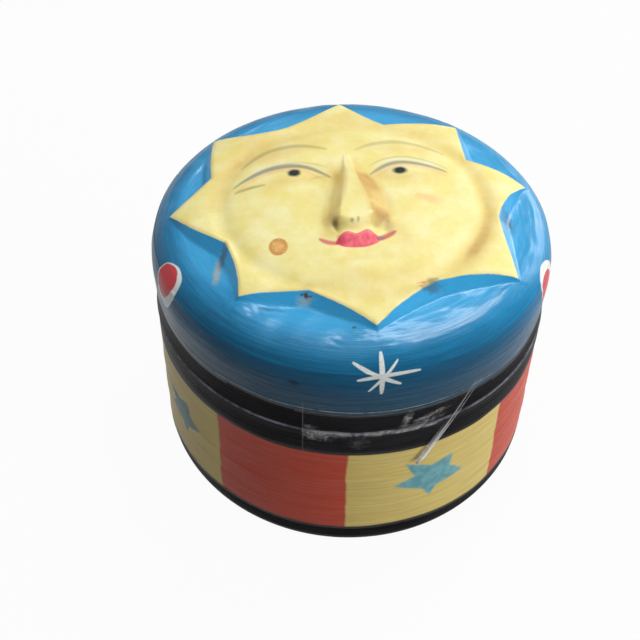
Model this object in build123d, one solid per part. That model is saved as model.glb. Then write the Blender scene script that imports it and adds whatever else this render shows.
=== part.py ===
from build123d import *
import math
import os

# Round lidded box of turned and carved wood, shut, with the face on the lid upright towards +Y.
# The origin is the centre of the flat bottom. Millimetres, +Z up.

# Outside of the base. The joint with the lid is at its rim.
base_height = 48.8
rim_radius = 51.0
rim_round = 0.5
belly_swell = 0.4
foot_rise = 8.9
foot_tuck = 4.0

# Inside of the base: a flat seat, then a collar that stands above it, then the cavity
seat_width = 3.8
collar_wall = 3.2
collar_height = 6.0
collar_chamfer = 0.6
floor_thickness = 7.0
floor_round = 5.0

# Outside of the lid, from the joint upwards: a band, a ledge, the side and the shoulder
lid_setback = 0.2
band_height = 7.2
band_taper = 0.5
ledge_width = 0.4
ledge_rise = 0.4
side_height = 6.8
side_bulge = 0.15
shoulder_height = 13.5
shoulder_width = 31.0
shoulder_fullness = 0.78

# Inside of the lid: a socket round the collar, and a hollow above it
collar_clearance = 0.3
socket_headroom = 1.0
hollow_inset = 5.5
roof_thickness = 8.0
hollow_round = 8.0

# Star cut into the top: how deep the ground between the rays lies at the valleys and at its outer
# edge, and the eight rays and valleys, as distances in from the lid's widest circle and bearings.
ground_depth = 3.4
ground_fall = 1.2
tip_insets = (4.9, 5.8, 6.5, 4.4, 5.5, 10.1, 10.9, 5.7)
tip_bearings = (7.5, 45, 88, 136, 177, 223.5, 271.5, 324)
valley_insets = (16.0, 17.2, 15.4, 13.7, 17.1, 19.1, 18.2, 14.7)
valley_bearings = (25.5, 69, 113, 158.5, 199, 245, 300.5, 348.5)

# Face: a low swelling inside the star
face_inset = 20.0
face_swell = 1.7

# Nose: its stations from the brows down, and at each its foot, ridge and height
nose_stations = (16.0, 3.0, -11.3)
nose_foot_widths = (4.0, 12.0, 14.2)
nose_ridge_widths = (1.0, 4.9, 7.7)
nose_heights = (0.5, 2.0, 3.0)

# Lips
lips_middle = -14.4
lips_width = 17.0
lips_peak_spread = 5.0
lips_above = 2.4
lips_dip = 0.9
lips_below = 3.2
lips_proud = 0.9

# Clear tape across the joint, as seen from the front
tape_width = 19.0
tape_below_joint = 8.5
tape_left = -16.7
tape_right_top = 26.0
tape_right_bottom = 15.4
tape_thickness = 0.15
tape_standoff = 0.1

# How far a blank reaches past what it has to cut or join
spare = 2.0

# Sizes that follow from these
belly_radius = rim_radius + belly_swell
foot_flat_radius = belly_radius - foot_tuck
collar_radius = rim_radius - seat_width
cavity_radius = collar_radius - collar_wall
lid_rim_radius = rim_radius - lid_setback
band_top_radius = lid_rim_radius - band_taper
ledge_radius = band_top_radius + ledge_width
widest_radius = lid_rim_radius + side_bulge
crown_radius = widest_radius - shoulder_width
band_top = base_height + band_height
widest_level = band_top + side_height
crown_level = widest_level + shoulder_height
face_radius = widest_radius - face_inset


def turned(outline_edges):
    # A turned solid: the closed outline, drawn in the XZ plane, goes once round the Z axis.
    return revolve(make_face(outline_edges), Axis.Z)


def upright(points):
    # A run of straight edges through points given as radius and height.
    return Polyline([(radius, 0, height) for radius, height in points])


def upright_arc(centre, half_width, half_height, start, turn):
    # Part of an ellipse in the XZ plane, from the start angle through the turn, in degrees.
    flat = EllipticalCenterArc(centre, half_width, half_height, start_angle=start, arc_size=turn)
    return Plane.XZ * flat


# jar_base
def make_base():
    collar_top = base_height + collar_height
    foot = upright_arc((foot_flat_radius, foot_rise), foot_tuck, foot_rise, 270, 90)
    rim = upright_arc((rim_radius - rim_round, base_height - rim_round), rim_round, rim_round, 0, 90)
    outside = turned([
        upright([(0, foot_rise), (0, 0), (foot_flat_radius, 0)]),
        foot,
        upright([(belly_radius, foot_rise), (rim_radius, base_height - rim_round)]),
        rim,
        upright([
            (rim_radius - rim_round, base_height),
            (collar_radius, base_height),
            (collar_radius, collar_top - collar_chamfer),
            (collar_radius - collar_chamfer, collar_top),
            (0, collar_top),
            (0, foot_rise),
        ]),
    ])
    bore = extrude(Circle(cavity_radius), collar_top - floor_thickness + spare)
    bore = fillet(bore.edges().group_by(Axis.Z)[0], floor_round)
    return outside - Pos(0, 0, floor_thickness) * bore


# lid
def make_blank():
    rim = upright_arc(
        (lid_rim_radius - rim_round, base_height + rim_round), rim_round, rim_round, 270, 90)
    shoulder = Bezier(
        (widest_radius, 0, widest_level),
        (widest_radius, 0, widest_level + shoulder_fullness * shoulder_height),
        (crown_radius + shoulder_fullness * shoulder_width, 0, crown_level),
        (crown_radius, 0, crown_level),
    )
    return turned([
        upright([(0, crown_level), (0, base_height), (lid_rim_radius - rim_round, base_height)]),
        rim,
        upright([
            (lid_rim_radius, base_height + rim_round),
            (band_top_radius, band_top),
            (ledge_radius, band_top + ledge_rise),
            (widest_radius, widest_level),
        ]),
        shoulder,
        upright([(crown_radius, crown_level), (0, crown_level)]),
    ])


def star_outline():
    # Eight rays, each straight from its tip to the valleys beside it.
    corners = []
    for inset, bearing in zip(tip_insets + valley_insets, tip_bearings + valley_bearings):
        corners.append((bearing, widest_radius - inset))
    points = []
    for bearing, distance in sorted(corners):
        angle = math.radians(bearing)
        points.append((distance * math.cos(angle), distance * math.sin(angle)))
    return make_face(Polyline(*points, close=True))


def carve_ground(blank):
    # The ground between the rays falls a little outwards and meets the shoulder at its edge.
    middle = crown_level - ground_depth + ground_fall
    rim = crown_level - ground_depth - ground_fall
    top = crown_level + spare
    reach = widest_radius + spare
    waste = turned([upright([(0, middle), (reach, rim), (reach, top), (0, top), (0, middle)])])
    star = Pos(0, 0, rim - spare) * extrude(star_outline(), top - rim + 2 * spare)
    return blank - (waste - star)


def face_dome():
    # A cap whose edge is just under the star's top.
    edge_level = crown_level - face_swell / 2
    rise = crown_level + face_swell - edge_level
    ball_radius = (face_radius ** 2 + rise ** 2) / (2 * rise)
    angle = math.degrees(math.asin(face_radius / ball_radius))
    cap = upright_arc((0, edge_level + rise - ball_radius), ball_radius, ball_radius, 90 - angle, angle)
    return turned([
        cap,
        upright([
            (0, edge_level + rise),
            (0, edge_level - spare),
            (face_radius, edge_level - spare),
            (face_radius, edge_level),
        ]),
    ])


def make_nose():
    # Flat-topped wedge that stands in the face: narrow and low at the brows, broad and high at the tip.
    sections = []
    level = crown_level + face_swell / 2
    for place, foot, ridge, height in zip(nose_stations, nose_foot_widths, nose_ridge_widths, nose_heights):
        across = Plane(origin=(0, place, level), x_dir=(-1, 0, 0), z_dir=(0, 1, 0))
        outline = Polyline(
            (foot / 2, -spare),
            (foot / 2, face_swell / 2),
            (ridge / 2, height + face_swell / 2),
            (-ridge / 2, height + face_swell / 2),
            (-foot / 2, face_swell / 2),
            (-foot / 2, -spare),
            close=True,
        )
        sections.append(across * make_face(outline))
    return loft(sections, ruled=True)


def make_lips():
    half = lips_width / 2
    peak = lips_peak_spread / 2
    upper = Spline(
        (-half, lips_middle),
        (-peak, lips_middle + lips_above),
        (0, lips_middle + lips_above - lips_dip),
        (peak, lips_middle + lips_above),
        (half, lips_middle),
    )
    lower = ThreePointArc((half, lips_middle), (0, lips_middle - lips_below), (-half, lips_middle))
    lips = extrude(make_face([upper, lower]), spare + lips_proud)
    return Pos(0, 0, crown_level + face_swell - spare) * lips


def lid_inside():
    socket_depth = collar_height + socket_headroom
    hollow_depth = crown_level - ground_depth - roof_thickness - base_height
    socket = extrude(Circle(collar_radius + collar_clearance), socket_depth + spare)
    hollow = extrude(Circle(collar_radius + collar_clearance - hollow_inset), hollow_depth + spare)
    hollow = fillet(hollow.edges().group_by(Axis.Z)[-1], hollow_round)
    return Pos(0, 0, base_height - spare) * (socket + hollow)


def make_lid():
    lid = carve_ground(make_blank()) + face_dome() + make_nose() + make_lips()
    return lid - lid_inside()


# clear_tape
def make_tape():
    # The tape stands just clear of the widest thing behind it, of the base and of the lifting lid.
    low = base_height - tape_below_joint
    wall_slope = belly_swell / (base_height - rim_round - foot_rise)
    wall_behind = rim_radius + wall_slope * tape_below_joint
    inner = max(wall_behind, rim_radius, lid_rim_radius, ledge_radius, widest_radius) + tape_standoff
    ring = Circle(inner + tape_thickness) - Circle(inner)
    band = Pos(0, 0, low) * extrude(ring, tape_width)
    front_view = Polyline(
        (tape_left, low),
        (tape_left, low + tape_width),
        (tape_right_top, low + tape_width),
        (tape_right_bottom, low),
        close=True,
    )
    patch = extrude(Plane.XZ * make_face(front_view), inner + spare)
    return band & patch


def write(name, solid):
    export_step(solid, os.path.join("parts", name + ".step"))
    size = solid.bounding_box().size
    print(name, "%.2f x %.2f x %.2f" % (size.X, size.Y, size.Z), "%.1f" % solid.volume)


os.makedirs("parts", exist_ok=True)
write("jar_base", make_base())
write("lid", make_lid())
write("clear_tape", make_tape())
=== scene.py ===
from math import acos, cos, dist, hypot, pi, radians, sin
import bpy
import numpy as np
from mathutils import Matrix, Vector


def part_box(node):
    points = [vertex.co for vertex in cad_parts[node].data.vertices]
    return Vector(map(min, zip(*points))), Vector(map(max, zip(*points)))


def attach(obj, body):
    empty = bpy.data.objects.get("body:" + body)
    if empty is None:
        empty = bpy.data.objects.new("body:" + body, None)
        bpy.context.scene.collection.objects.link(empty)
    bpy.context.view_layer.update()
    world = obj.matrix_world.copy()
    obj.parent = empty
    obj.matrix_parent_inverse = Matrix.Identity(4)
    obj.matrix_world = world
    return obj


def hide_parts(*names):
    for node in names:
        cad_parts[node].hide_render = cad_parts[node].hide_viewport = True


# Turned and painted wooden box with a carved sun face on its lid, shut, with a strip of clear tape.
# Shapes are worked out in millimetres about the centre of the flat bottom and made in metres.

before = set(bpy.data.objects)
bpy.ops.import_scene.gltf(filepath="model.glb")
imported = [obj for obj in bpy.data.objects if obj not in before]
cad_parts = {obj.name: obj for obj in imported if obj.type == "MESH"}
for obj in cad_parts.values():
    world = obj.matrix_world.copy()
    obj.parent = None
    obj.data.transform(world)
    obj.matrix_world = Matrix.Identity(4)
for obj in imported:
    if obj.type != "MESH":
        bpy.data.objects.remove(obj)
scene = bpy.context.scene
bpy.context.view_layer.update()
metre = 0.001
lidLow, lidHigh = (np.array(corner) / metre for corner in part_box("lid"))
tapeLow, tapeHigh = (np.array(corner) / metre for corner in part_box("clear_tape"))
seam = lidLow[2]
print("frame: seam at %.1f mm, lid top at %.1f mm" % (seam, lidHigh[2]))


class Values(dict):
    # a dictionary whose values are also read as attributes
    __getattr__ = dict.__getitem__


quarter = pi / 2
wave = 6.283        # one full wave, in radians
unpainted = -20.0   # signed distance in mm where a patch of paint is far away


# Small numpy helpers


def fade(low, high, value):
    # 0 below low, 1 above high, with a smooth turn between them
    t = np.clip((value - low) / (high - low), 0, 1)
    return t * t * (3 - 2 * t)


def bell(value, middle, width):
    # 1 at the middle, falling off to both sides
    return np.exp(-((value - middle) / width) ** 2)


def polar(radius, angle):
    return radius * np.cos(angle), radius * np.sin(angle)


def turned(x, y, degrees):
    # coordinates along and across a direction
    c, s = cos(radians(degrees)), sin(radians(degrees))
    return x * c + y * s, y * c - x * s


def around(degrees, bearing, radius):
    # distance in mm round the axis from a bearing
    return ((degrees - bearing + 180) % 360 - 180) * pi / 180 * radius


def hill(x, y, centre, size, turn=0.0):
    # round bump of height 1, size is its two half widths, turn its slant in degrees
    along, across = turned(x - centre[0], y - centre[1], turn)
    return np.exp(-(along / size[0]) ** 2 - (across / size[1]) ** 2)


def softMin(a, b, blend):
    # the smaller of two surfaces, with the corner between them rounded
    h = np.clip(0.5 + 0.5 * (b - a) / blend, 0, 1)
    return b * (1 - h) + a * h - blend * h * (1 - h)


def ripple(x, y, z, size, seed):
    # slow unevenness from -1 to 1: five sine waves in directions drawn from the seed
    draw = np.random.default_rng(seed)
    total = np.zeros(np.broadcast(x, y, z).shape)
    for k in range(5):
        way = draw.normal(size=3)
        way = way / np.linalg.norm(way) * wave / (size * draw.uniform(0.7, 1.5))
        total = total + np.sin(x * way[0] + y * way[1] + z * way[2] + draw.uniform(0, wave))
    return total / 3


def ridges(angle, across, seed):
    # fine ridges left by the brush and the lathe: waves across the turning, 1.6 to 4 mm long, that
    # drift and fade slowly round the axis
    draw = np.random.default_rng(seed)
    total = np.zeros(np.broadcast(angle, across).shape)
    for k in range(9):
        fast = wave / draw.uniform(1.6, 4.0)
        turns, swing, phase = draw.integers(1, 7), draw.uniform(1.5, 4.5), draw.uniform(0, wave, 3)
        drift = swing * np.sin(turns * angle + phase[0])
        strength = 0.55 + 0.45 * np.sin((turns + 3) * angle + phase[1])
        total = total + strength * np.sin(across * fast + drift + phase[2])
    return total / 3


def wrinkles(angle, across, seed):
    # short wrinkles of thick paint: waves across the turning that bend every few millimetres along it
    draw = np.random.default_rng(seed)
    total = np.zeros(np.broadcast(angle, across).shape)
    for k in range(8):
        fast = wave / draw.uniform(1.3, 2.6)
        turns, phase = draw.integers(14, 44), draw.uniform(0, wave, 3)
        drift = draw.uniform(0.8, 2.2) * np.sin(turns * angle + phase[0]) + 3 * np.sin(2 * angle + phase[2])
        strength = np.maximum(np.sin(draw.integers(5, 19) * angle + 0.4 * across + phase[1]), 0)
        total = total + strength * np.sin(across * fast + drift + phase[2])
    return total / 2.5


def outlineDistance(x, y, outline):
    # signed distance to a closed outline in mm, positive inside: nearest edge, sign by crossings
    outline = np.array(outline, float)
    best = np.full(x.shape, 1e9)
    inside = np.zeros(x.shape, bool)
    for (ax, ay), (bx, by) in zip(outline, np.roll(outline, -1, axis=0)):
        ex, ey = bx - ax, by - ay
        t = np.clip(((x - ax) * ex + (y - ay) * ey) / (ex * ex + ey * ey), 0, 1)
        best = np.minimum(best, np.hypot(x - ax - t * ex, y - ay - t * ey))
        crosses = (ay > y) != (by > y)
        inside ^= crosses & (x < ax + (y - ay) * ex / (ey if ey else 1e-9))
    return np.where(inside, best, -best)


def patchDistance(x, y, outline, reach):
    # the same for a small patch, worked out only within its reach
    value = np.full(x.shape, unpainted)
    near = (np.abs(x) < reach) & (np.abs(y) < reach)
    value[near] = outlineDistance(x[near], y[near], outline)
    return value


def smoothOutline(points, steps=6):
    # closed curve through the points, each piece a cubic with slopes from its neighbours
    p = np.array(points, float)[:, None]
    before, after, next2 = np.roll(p, 1, 0), np.roll(p, -1, 0), np.roll(p, -2, 0)
    t = (np.arange(steps) / steps)[None, :, None]
    curve = p + 0.5 * t * (after - before + t * (
        2 * before - 5 * p + 4 * after - next2 + t * (3 * (p - after) + next2 - before)))
    return curve.reshape(-1, 2)


def strokeBump(x, y, start, end, bow, width):
    # soft ridge along a bowed line: falls off with the distance across it and at its ends
    dx, dy = end[0] - start[0], end[1] - start[1]
    length = hypot(dx, dy)
    u = ((x - start[0]) * dx + (y - start[1]) * dy) / length ** 2
    v = ((y - start[1]) * dx - (x - start[0]) * dy) / length
    return bell(v, bow * 4 * u * (1 - u), width) * fade(-0.03, 0.2, u) * fade(1.03, 0.8, u)


def lengthAlong(x, y):
    # distance along a curve to each of its points
    return np.r_[0, np.cumsum(np.hypot(np.diff(x), np.diff(y)))]


def straight(start, end, count, first=1):
    # points on a line, as shares of its length from the one numbered first up to the end
    part = np.arange(first, count + 1) / count
    return [(start[0] + (end[0] - start[0]) * t, start[1] + (end[1] - start[1]) * t) for t in part]


def arc(centre, half, start, end, count):
    # points on an ellipse about the centre with these half widths, between two angles
    return [(centre[0] + half[0] * cos(a), centre[1] + half[1] * sin(a))
            for a in np.linspace(start, end, count)]


def closedGrid(rings, columns):
    # faces of a surface of rings that closes with one pole at each end, outwards when rings run
    # from the top pole over the outside to the bottom pole and columns turn leftwards
    i, j = np.meshgrid(np.arange(rings - 1) * columns, np.arange(columns), indexing="ij")
    after = (j + 1) % columns
    quads = np.stack([i + j, i + columns + j, i + columns + after, i + after], -1).reshape(-1, 4)
    k, last, topPole = np.arange(columns), (rings - 1) * columns, rings * columns
    nextK = (k + 1) % columns
    top = np.stack([np.full(columns, topPole), k, nextK], -1)
    bottom = np.stack([np.full(columns, topPole + 1), last + nextK, last + k], -1)
    return quads.tolist() + top.tolist() + bottom.tolist()


def addObject(name, data):
    added = bpy.data.objects.new(name, data)
    scene.collection.objects.link(added)
    return added


def makePiece(name, points, faces, materials, body, packed, marks, which=None):
    # points in mm; marks are values at each point for the materials, which is each face's material
    mesh = bpy.data.meshes.new(name)
    mesh.from_pydata((points * metre).tolist(), [], faces)
    mesh.polygons.foreach_set("use_smooth", np.ones(len(mesh.polygons), bool))
    for material in materials:
        mesh.materials.append(material)
    if which is not None:
        mesh.polygons.foreach_set("material_index", which.astype(np.int32))
    for key, values in marks.items():
        layer = mesh.attributes.new(key, "FLOAT", "POINT")
        layer.data.foreach_set("value", values.astype(np.float32))
    mesh.validate()
    mesh.update()
    piece = addObject(name, mesh)
    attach(piece, body)
    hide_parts(packed)
    print("%s: %d faces, %.1f x %.1f x %.1f mm" % (name, len(faces), *np.ptp(points, axis=0)))


# Shader helpers: they add their nodes to the tree that is being built
building = {"tree": None}


def colour(code):
    # linear colour from a written web colour
    parts = [int(code[i:i + 2], 16) / 255 for i in (0, 2, 4)]
    return tuple(((c + 0.055) / 1.055) ** 2.4 if c > 0.04045 else c / 12.92 for c in parts) + (1.0,)


def put(socket, value):
    # links a socket, or sets a plain value or a colour code
    if isinstance(value, bpy.types.NodeSocket):
        building["tree"].links.new(value, socket)
    elif value is not None:
        socket.default_value = colour(value) if isinstance(value, str) else value


def node(kind, values=(), **settings):
    # adds a node with its settings, and values for its inputs in their order or by name or number
    n = building["tree"].nodes.new("ShaderNode" + kind)
    for key, value in settings.items():
        setattr(n, key, value)
    for key, value in values.items() if isinstance(values, dict) else enumerate(values):
        put(n.inputs[key], value)
    return n


def calc(operation, a, b=None, c=None, clamp=False):
    return node("Math", (a, b, c), operation=operation, use_clamp=clamp).outputs[0]


def chain(operation):
    # a function that combines two or more values from left to right
    def combine(*values):
        result = values[0]
        for value in values[1:]:
            result = calc(operation, result, value)
        return result
    return combine


times, plus, minus, highest = (chain(name) for name in ("MULTIPLY", "ADD", "SUBTRACT", "MAXIMUM"))


def timesPlus(a, b, c):
    return calc("MULTIPLY_ADD", a, b, c)


def apart(a, b):
    return calc("ABSOLUTE", minus(a, b))


def vector(operation, a, b=None, scale=None):
    outputs = node("VectorMath", (a, b, None, scale), operation=operation).outputs
    return outputs["Value" if operation in ("DOT_PRODUCT", "LENGTH") else "Vector"]


def fromAxis(point):
    return vector("LENGTH", vector("MULTIPLY", point, (1, 1, 0)))


def step(value, low, high, top=1.0):
    # smooth step from 0 at low to top at high
    return node("MapRange", (value, low, high, 0, top), interpolation_type="SMOOTHSTEP").outputs[0]


def lay(base, *coats):
    # paints coats over a colour: each a colour, the mask where it shows, and perhaps its strength
    for tone, *masks in coats:
        base = node("Mix", {0: times(*masks), 6: base, 7: tone}, data_type="RGBA").outputs[2]
    return base


def ramp(value, stops):
    # colours at given values, blended evenly between them
    low, high = stops[0][0], stops[-1][0]
    n = node("ValToRGB", [calc("DIVIDE", minus(value, low), high - low, clamp=True)])
    while len(n.color_ramp.elements) < len(stops):
        n.color_ramp.elements.new(0.5)
    for element, (place, code) in zip(n.color_ramp.elements, stops):
        element.position = (place - low) / (high - low)
        element.color = colour(code)
    return n.outputs[0]


def grain(point, scale, detail=2.0, rough=0.5, warp=0.0):
    return node("TexNoise", {"Vector": point, "Scale": scale, "Detail": detail, "Roughness": rough,
                             "Distortion": warp}).outputs[0]


def mark(name):
    return node("Attribute", attribute_name=name).outputs["Fac"]


def joined(x, y, z):
    return node("CombineXYZ", (x, y, z)).outputs[0]


def split(point):
    return node("SeparateXYZ", [point]).outputs


def millimetres():
    return vector("SCALE", node("TexCoord").outputs["Object"], scale=1 / metre)


def newGroup(name, inputs, outputs):
    # inputs with their plain values, vectors or numbers, and the names of number outputs; gives the
    # group, its inputs in order and its outputs by name
    tree = building["tree"] = bpy.data.node_groups.new(name, "ShaderNodeTree")
    for key, value in inputs.items():
        kind = "NodeSocketVector" if isinstance(value, tuple) else "NodeSocketFloat"
        tree.interface.new_socket(key, in_out="INPUT", socket_type=kind).default_value = value
    for key in outputs:
        tree.interface.new_socket(key, in_out="OUTPUT", socket_type="NodeSocketFloat")
    given = list(tree.nodes.new("NodeGroupInput").outputs)[:len(inputs)]
    return tree, given, tree.nodes.new("NodeGroupOutput").inputs


def use(group, **values):
    return node("Group", values, node_tree=group).outputs


def newMaterial(name, **settings):
    # Principled material with plain settings; underscores in their names stand for spaces
    material = bpy.data.materials.new(name)
    material.use_nodes = True
    building["tree"] = material.node_tree
    shader = material.node_tree.nodes["Principled BSDF"]
    for key, value in settings.items():
        put(shader.inputs[key.replace("_", " ")], value)
    return material, shader


def finished(material, shader, base, rough, relief, strength, depth):
    # colour, roughness, and a bump of this strength and depth in mm
    bump = node("Bump", {"Strength": strength, "Distance": depth * metre, "Height": relief})
    for key, value in (("Base Color", base), ("Roughness", rough), ("Normal", bump.outputs[0])):
        put(shader.inputs[key], value)
    return material


# Shared effects
origin = (0.0, 0.0, 0.0)


def makeBrushStroke():
    # A painted line from start to end, bowed by bend and skew, widest in its middle. Along it u runs
    # from 0 to 1, across it v is in mm. The mask is 1 within a half width that goes to 0 at the ends.
    group, (point, start, end, bend, skew, width, soft, blunt), out = newGroup("brushStroke", {
        "Point": origin, "Start": origin, "End": origin, "Bend": 0.0, "Skew": 0.0, "Width": 1.0,
        "Soft": 0.15, "Blunt": 0.5}, ["Mask"])
    chord, offset = vector("SUBTRACT", end, start), vector("SUBTRACT", point, start)
    way = vector("NORMALIZE", chord)
    side = split(way)
    u = calc("DIVIDE", vector("DOT_PRODUCT", offset, way), vector("LENGTH", chord))
    rest = minus(1.0, u)
    arch = times(u, rest, 4.0)
    v = vector("DOT_PRODUCT", offset, joined(times(side[1], -1.0), side[0], 0.0))
    v = minus(v, times(arch, bend), times(arch, minus(rest, u), skew))
    half = times(calc("POWER", highest(arch, 0.0), blunt), width, 0.5)
    mask = step(minus(half, calc("ABSOLUTE", v)), times(soft, -1.0), soft)
    put(out["Mask"], times(mask, step(arch, 0.0, 0.12)))
    return group


def makePaintSpot():
    # A dab of paint: an ellipse of half widths size, turned by turn, with an uneven soft edge
    group, (point, centre, size, turn, soft, uneven), out = newGroup("paintSpot", {
        "Point": origin, "Centre": origin, "Size": (1.0, 1.0, 1.0), "Turn": 0.0, "Soft": 0.2,
        "Uneven": 0.15}, ["Mask", "Radius"])
    away = vector("MULTIPLY", vector("SUBTRACT", point, centre), (1, 1, 0))
    own = node("VectorRotate", {"Vector": away, "Angle": times(turn, -1.0)}, rotation_type="Z_AXIS")
    wobble = times(minus(grain(point, 0.9), 0.5), 2.0)
    radius = timesPlus(wobble, uneven, vector("LENGTH", vector("DIVIDE", own.outputs[0], size)))
    put(out["Mask"], step(radius, plus(1.0, soft), minus(1.0, soft)))
    put(out["Radius"], radius)
    return group


def makeTurnedStreaks():
    # Streaks round the axis, with no seam: noise on the direction from the axis and on height less
    # radius, which is squeezed so that it changes fast across the streaks and slowly along them
    group, (point, along, across, detail), out = newGroup("turnedStreaks", {
        "Point": origin, "Along": 2.0, "Across": 1.5, "Detail": 4.0}, ["Streaks", "Fine"])
    x, y, z = split(point)
    radius = highest(fromAxis(point), 1.0)
    cx, cy = (times(calc("DIVIDE", value, radius), along) for value in (x, y))
    rise = times(minus(z, radius), across)
    put(out["Streaks"], grain(joined(cx, cy, rise), 1.0, detail, 0.6, 0.35))
    fast = vector("SCALE", joined(times(cx, 0.6), times(cy, 0.6), rise), scale=3.4)
    put(out["Fine"], grain(fast, 1.0, 2.0, 0.55))
    return group


def makePaintEdge():
    # The edge of a hand-painted patch: a signed distance in mm, wobbled by slow noise, made a mask
    group, (point, distance, wobble, size, soft), out = newGroup("paintEdge", {
        "Point": origin, "Distance": 0.0, "Wobble": 0.3, "Size": 0.25, "Soft": 0.15}, ["Mask"])
    noise = times(minus(grain(point, size, 3.0), 0.5), 2.0)
    put(out["Mask"], step(timesPlus(noise, wobble, distance), times(soft, -1.0), soft))
    return group


def makeSpeckle():
    # Scattered small marks: where two noises of different sizes are both high
    group, (point, size, amount), out = newGroup("speckle", {
        "Point": origin, "Size": 1.0, "Amount": 0.1}, ["Mask"])
    fine, slow = grain(point, size, 2.0, 0.6), grain(point, times(size, 0.13), 1.0)
    low = minus(0.86, amount)
    put(out["Mask"], step(plus(times(fine, 0.75), times(slow, 0.35)), low, plus(low, 0.05)))
    return group


brushStroke = makeBrushStroke()
paintSpot = makePaintSpot()
turnedStreaks = makeTurnedStreaks()
paintEdge = makePaintEdge()
speckle = makeSpeckle()
print("shader groups made")


def brushed(point, along, across, detail):
    # broad and fine streaks round the axis
    outputs = use(turnedStreaks, Point=point, Along=along, Across=across, Detail=detail)
    return outputs["Streaks"], outputs["Fine"]


def stroke(point, start, end, bend, width, soft, **more):
    return use(brushStroke, Point=point, Start=start + (0.0,), End=end + (0.0,), Bend=bend, Width=width,
               Soft=soft, **more)["Mask"]


def dab(point, centre, size, turn, soft, uneven):
    return use(paintSpot, Point=point, Centre=centre + (0.0,), Size=size + (1.0,),
               Turn=radians(turn), Soft=soft, Uneven=uneven)


def edge(point, distance, wobble, size, soft):
    # mask of a painted patch from its signed distance, or from the mark of that name
    distance = mark(distance) if isinstance(distance, str) else distance
    return use(paintEdge, Point=point, Distance=distance, Wobble=wobble, Size=size, Soft=soft)["Mask"]


# Bare wood, inside both halves
bareWood = Values(pale="DCC194", ring="C8A470", dark="9A7040", rough=0.62)


def makeBareWood():
    c = bareWood
    material, shader = newMaterial("bareTurnedWood", Specular_IOR_Level=0.35)
    point = millimetres()
    # the grain stands upright: growth rings and fibres are noises with the z axis stretched
    rings = grain(vector("MULTIPLY", point, (0.3, 0.14, 0.008)), 1.0, 2.0, 0.5, 0.1)
    fibre = grain(vector("MULTIPLY", point, (1.9, 1.9, 0.05)), 1.0, 3.0)
    base = lay(c.pale, (c.ring, step(rings, 0.35, 0.65, 0.7)), (c.dark, step(fibre, 0.55, 0.8, 0.45)))
    toolMarks, fine = brushed(point, 0.6, 1.4, 2.0)
    relief = plus(toolMarks, times(fibre, 0.5))
    return finished(material, shader, base, step(fibre, 0.2, 0.8, c.rough + 0.1), relief, 0.5, 0.25)


# Black paint of the bands and the foot, pale grey along the seam as dust and painted highlight
blackPaint = Values(tone="0D0B0F", rubbed="2B2A33", seamDust="9596A4", rough=0.3,
                    dustRadii=(50.2, 50.6))


def makeBlackPaint(name, level):
    # satin black brushed round the turned wood, greyish where it is rubbed, and pale along the seam with
    # dust and painted highlight
    c = blackPaint
    material, shader = newMaterial(name, Specular_IOR_Level=level)
    point = millimetres()
    streaks, fine = brushed(point, 2.2, 1.3, 5.0)
    patchy = plus(step(grain(point, 0.2, 5.0, 0.75), 0.35, 0.65, 0.6), 0.25)
    atSeam = step(apart(split(point)[2], seam), 0.5, 0.15)
    base = lay(c.tone, (c.rubbed, step(streaks, 0.55, 0.8, 0.4)),
               (c.seamDust, atSeam, step(fromAxis(point), *c.dustRadii), patchy))
    relief = plus(streaks, times(fine, 0.7))
    return finished(material, shader, base, timesPlus(fine, 0.24, c.rough), relief, 0.7, 0.22)


woodInside = makeBareWood()
satinBlack = makeBlackPaint("satinBlack", 0.03)
footBlack = makeBlackPaint("footBlack", 0.01)

# Lid
lidShape = Values(
    rim=50.8, rimRound=0.28, bandTop=56.0, band=50.32, ledgeTop=56.4,
    ledge=50.7, stripLow=54.9, widest=50.95, widestLevel=62.8, crown=76.3,
    crownEdge=19.95, fullness=0.78, carveLimit=49.5, wallSlope=1.05,
    valleyDepth=1.8, valleySpread=6.8, valleyStart=1.5, facetDepth=0.9, groundFull=41.0,
    socket=47.5, socketTop=55.8, hollow=42.0, hollowTop=64.9,
    round=8.0, perEdge=28, starRings=97, wallRings=40,
)
# The star's corners as bearing in degrees, distance from the axis, and how far the edge that follows
# bows outwards. Rays and valleys take turns.
starCorners = [
    (7.5, 46.05, 1.2), (25.5, 34.95, -0.3), (45, 45.15, 0.75), (69, 33.75, -1.4),
    (88, 45.05, -1.0), (113, 35.55, -1.8), (136, 46.55, 0.5), (158.5, 37.25, -0.45),
    (177, 45.45, 1.0), (199, 33.85, -1.0), (223.5, 40.85, -0.2), (245, 31.85, -0.45),
    (271.5, 40.05, -0.8), (300.5, 32.75, -1.3), (324, 45.25, -0.3), (348.5, 36.25, -1.9),
]
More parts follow.
